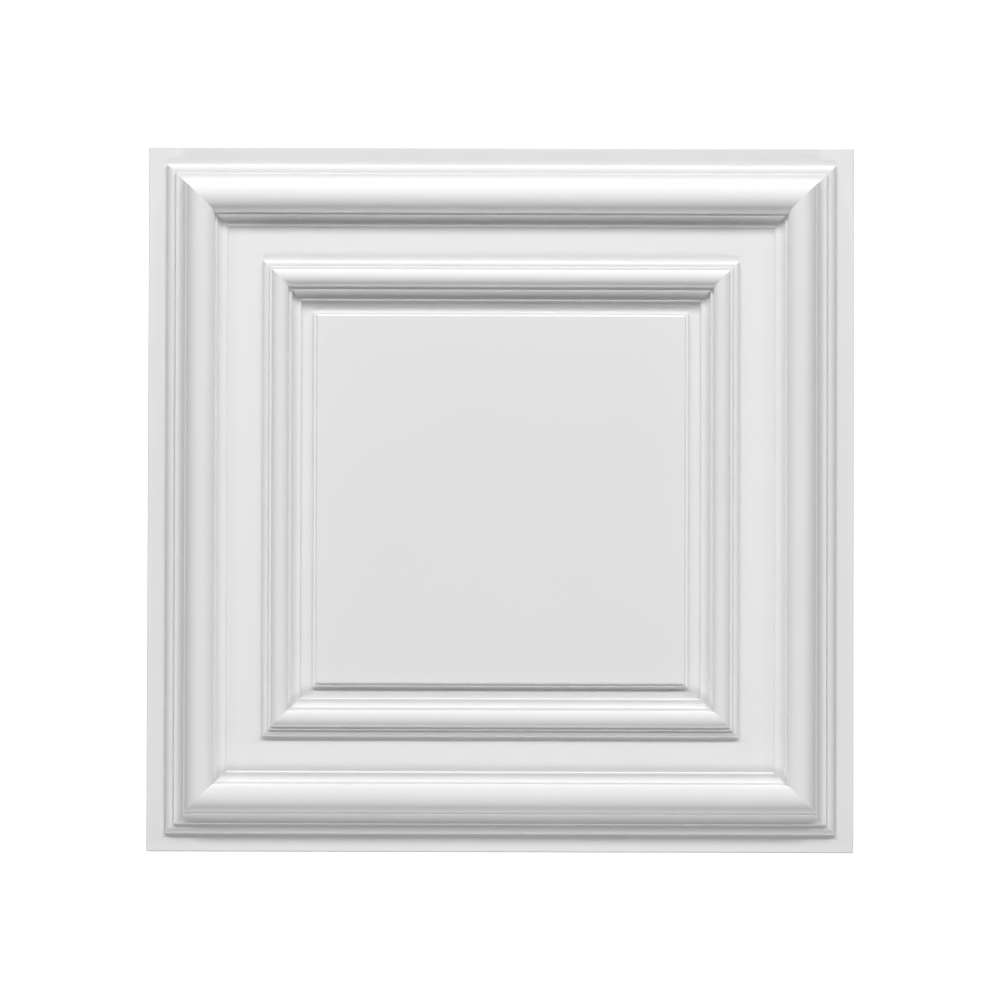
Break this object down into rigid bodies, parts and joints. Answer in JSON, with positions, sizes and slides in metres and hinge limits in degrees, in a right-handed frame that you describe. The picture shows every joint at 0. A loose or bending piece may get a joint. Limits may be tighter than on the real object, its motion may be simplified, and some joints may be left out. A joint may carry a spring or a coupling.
{
  "type": "ceiling tile",
  "caption": "Square moulded ceiling tile with a coffered face: a flat rim, an outer and an inner mitred moulding with a flat field between, and a raised middle panel. It lies in a ceiling grid.",
  "frame": {"origin": "middle of the flat back, which lies on the floor", "axes": "+Z out of the moulded face, +X and +Y along the tile's sides, +Y towards the top of the picture"},
  "size_m": [0.595, 0.595, 0.032],
  "materials": {
    "white_primer": "matte white primed polyurethane foam"
  },
  "bodies": {
    "root": {"ceiling_tile": "white_primer"}
  },
  "joints": []
}
